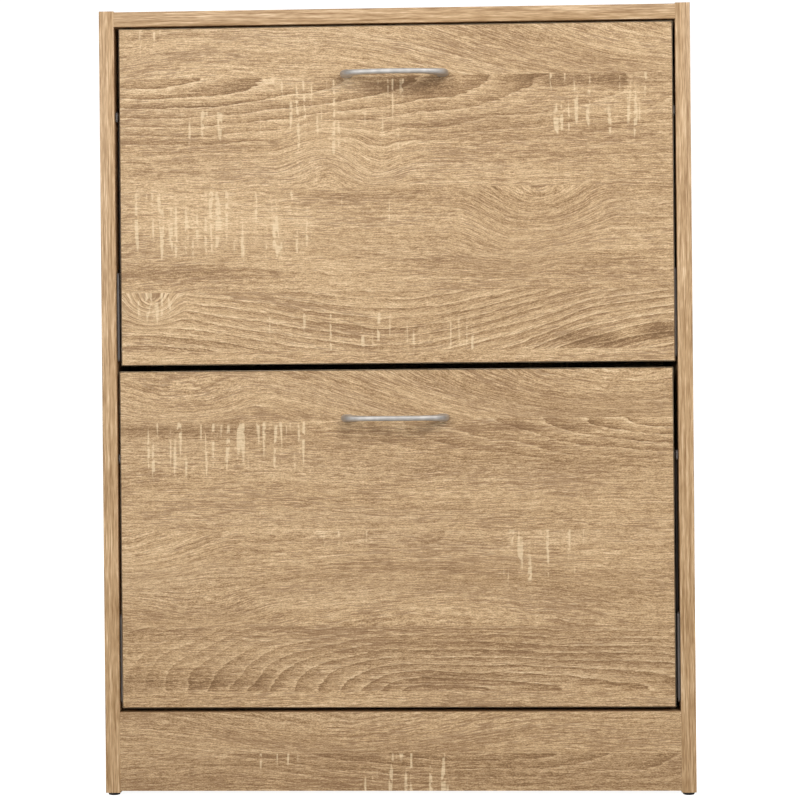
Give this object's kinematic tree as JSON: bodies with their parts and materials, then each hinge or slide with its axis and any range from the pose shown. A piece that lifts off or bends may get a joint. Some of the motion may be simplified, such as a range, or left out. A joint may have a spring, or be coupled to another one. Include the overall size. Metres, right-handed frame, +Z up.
{
  "type": "shoe cabinet",
  "caption": "Tall shallow shoe cabinet of oak-look boards on a plinth, with pull-down flap doors that carry tilting shoe racks and have metal bow handles.",
  "frame": {"origin": "middle of the bounding box, on the floor", "axes": "+Z up, -Y out of the doors, +X to the right seen from the front"},
  "size_m": [0.6, 0.265, 0.8],
  "materials": {
    "oak_board": "matt oak-effect melamine with a light sawn texture",
    "oak_edging": "matt oak-effect edging tape",
    "hardboard": "smooth hardboard",
    "beech": "fluted beech dowel",
    "rack_plastic": "moulded dark grey, fine grain",
    "black_plastic": "moulded, matt",
    "cap_plastic": "moulded, oak colour",
    "satin_nickel": "satin nickel plate on cast zinc",
    "zinc_steel": "bright zinc plate"
  },
  "bodies": {
    "carcass": {"left_side_panel": "oak_board", "right_side_panel": "oak_board", "left_side_edging": "oak_edging", "right_side_edging": "oak_edging", "top_panel": "oak_board", "top_edging": "oak_edging", "bottom_panel": "oak_board", "plinth_board": "oak_board", "rear_rail": "oak_board", "upper_back_panel": "hardboard", "lower_back_panel": "hardboard", "back_panel_nails": "zinc_steel", "wooden_dowels": "beech", "cam_bolts": "zinc_steel", "cam_locks": "zinc_steel", "cam_caps": "cap_plastic", "floor_glides": "black_plastic", "glide_nails": "zinc_steel", "wall_brackets": "zinc_steel", "wall_bracket_screws": "zinc_steel", "upper_left_pivot_bush": "black_plastic", "upper_right_pivot_bush": "black_plastic", "lower_left_pivot_bush": "black_plastic", "lower_right_pivot_bush": "black_plastic", "upper_left_stop_peg": "zinc_steel", "upper_right_stop_peg": "zinc_steel", "lower_left_stop_peg": "zinc_steel", "lower_right_stop_peg": "zinc_steel"},
    "upper_flap": {"upper_door": "oak_board", "upper_door_edging": "oak_edging", "upper_handle": "satin_nickel", "upper_handle_screws": "zinc_steel", "upper_left_rack_bracket": "rack_plastic", "upper_right_rack_bracket": "rack_plastic", "upper_bracket_screws": "zinc_steel", "upper_front_shelf": "hardboard", "upper_divider": "hardboard", "upper_rear_shelf": "hardboard", "upper_rear_board": "hardboard"},
    "lower_flap": {"lower_door": "oak_board", "lower_door_edging": "oak_edging", "lower_handle": "satin_nickel", "lower_handle_screws": "zinc_steel", "lower_left_rack_bracket": "rack_plastic", "lower_right_rack_bracket": "rack_plastic", "lower_bracket_screws": "zinc_steel", "lower_front_shelf": "hardboard", "lower_divider": "hardboard", "lower_rear_shelf": "hardboard", "lower_rear_board": "hardboard"}
  },
  "joints": [
    {"name": "upper_flap_hinge", "type": "hinge", "parent": "carcass", "child": "upper_flap", "pos_m": [0, -0.0905, 0.4785], "axis": [1, 0, 0], "range_deg": [0, 50]},
    {"name": "lower_flap_hinge", "type": "hinge", "parent": "carcass", "child": "lower_flap", "pos_m": [0, -0.0905, 0.1295], "axis": [1, 0, 0], "range_deg": [0, 50]}
  ]
}
